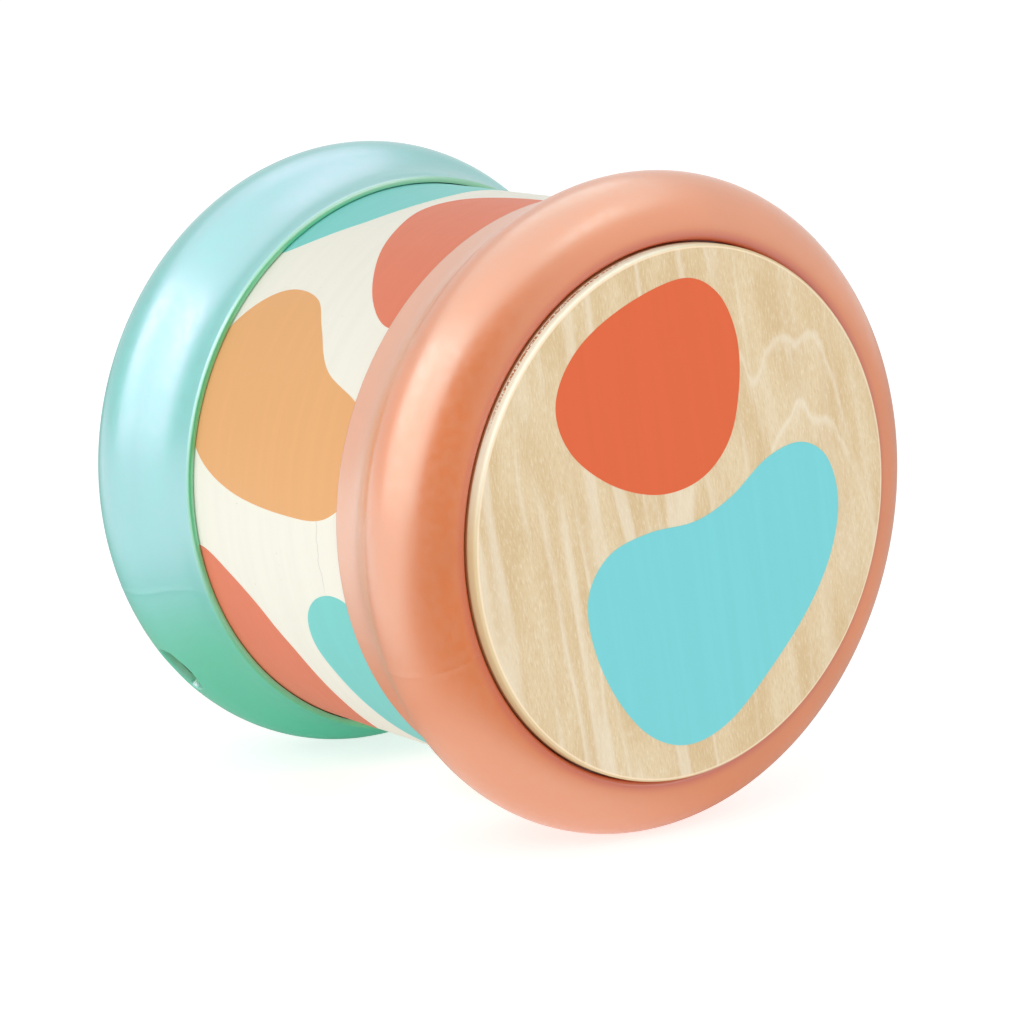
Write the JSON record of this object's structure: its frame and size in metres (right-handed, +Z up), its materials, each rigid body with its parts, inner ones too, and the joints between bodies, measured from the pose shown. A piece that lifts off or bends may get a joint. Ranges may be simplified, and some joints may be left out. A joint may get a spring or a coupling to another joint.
{
  "type": "rattle drum",
  "caption": "Small rolling drum: bent-wood barrel between two rounded bumper rings, a wooden head at each end, loose rattle balls inside.",
  "frame": {"origin": "on the floor under the middle of the drum, which lies on its two rings", "axes": "+Y along the drum's axis from the coral front end to the teal rear end, +Z up, +X across"},
  "size_m": [0.14, 0.128, 0.14],
  "materials": {
    "cream_paint": "satin cream paint with printed spots on bent plywood",
    "coral_plastic": "soft satin gloss",
    "teal_plastic": "soft satin gloss",
    "clear_plywood": "clear satin lacquer with two printed spots",
    "ball_wood": "plain turned wood",
    "screw_steel": "zinc plated"
  },
  "bodies": {
    "drum": {"barrel_shell": "cream_paint", "front_ring": "coral_plastic", "rear_ring": "teal_plastic", "front_head": "clear_plywood", "rear_head": "clear_plywood", "front_head_screw_1": "screw_steel", "front_head_screw_2": "screw_steel", "front_head_screw_3": "screw_steel", "front_head_screw_4": "screw_steel", "rear_head_screw_1": "screw_steel", "rear_head_screw_2": "screw_steel", "rear_head_screw_3": "screw_steel", "rear_head_screw_4": "screw_steel"},
    "rattle_ball_1": {"rattle_ball_1": "ball_wood"},
    "rattle_ball_2": {"rattle_ball_2": "ball_wood"},
    "rattle_ball_3": {"rattle_ball_3": "ball_wood"},
    "rattle_ball_4": {"rattle_ball_4": "ball_wood"},
    "rattle_ball_5": {"rattle_ball_5": "ball_wood"},
    "rattle_ball_6": {"rattle_ball_6": "ball_wood"},
    "rattle_ball_7": {"rattle_ball_7": "ball_wood"},
    "rattle_ball_8": {"rattle_ball_8": "ball_wood"}
  },
  "joints": [
    {"name": "rattle_ball_1_roll", "type": "hinge", "parent": "drum", "child": "rattle_ball_1", "pos_m": [0, 0, 0.07], "axis": [0, 1, 0], "continuous": true},
    {"name": "rattle_ball_2_roll", "type": "hinge", "parent": "drum", "child": "rattle_ball_2", "pos_m": [0, 0, 0.07], "axis": [0, 1, 0], "continuous": true},
    {"name": "rattle_ball_3_roll", "type": "hinge", "parent": "drum", "child": "rattle_ball_3", "pos_m": [0, 0, 0.07], "axis": [0, 1, 0], "continuous": true},
    {"name": "rattle_ball_4_roll", "type": "hinge", "parent": "drum", "child": "rattle_ball_4", "pos_m": [0, 0, 0.07], "axis": [0, 1, 0], "continuous": true},
    {"name": "rattle_ball_5_roll", "type": "hinge", "parent": "drum", "child": "rattle_ball_5", "pos_m": [0, 0, 0.07], "axis": [0, 1, 0], "continuous": true},
    {"name": "rattle_ball_6_roll", "type": "hinge", "parent": "drum", "child": "rattle_ball_6", "pos_m": [0, 0, 0.07], "axis": [0, 1, 0], "continuous": true},
    {"name": "rattle_ball_7_roll", "type": "hinge", "parent": "drum", "child": "rattle_ball_7", "pos_m": [0, 0, 0.07], "axis": [0, 1, 0], "continuous": true},
    {"name": "rattle_ball_8_roll", "type": "hinge", "parent": "drum", "child": "rattle_ball_8", "pos_m": [0, 0, 0.07], "axis": [0, 1, 0], "continuous": true}
  ]
}
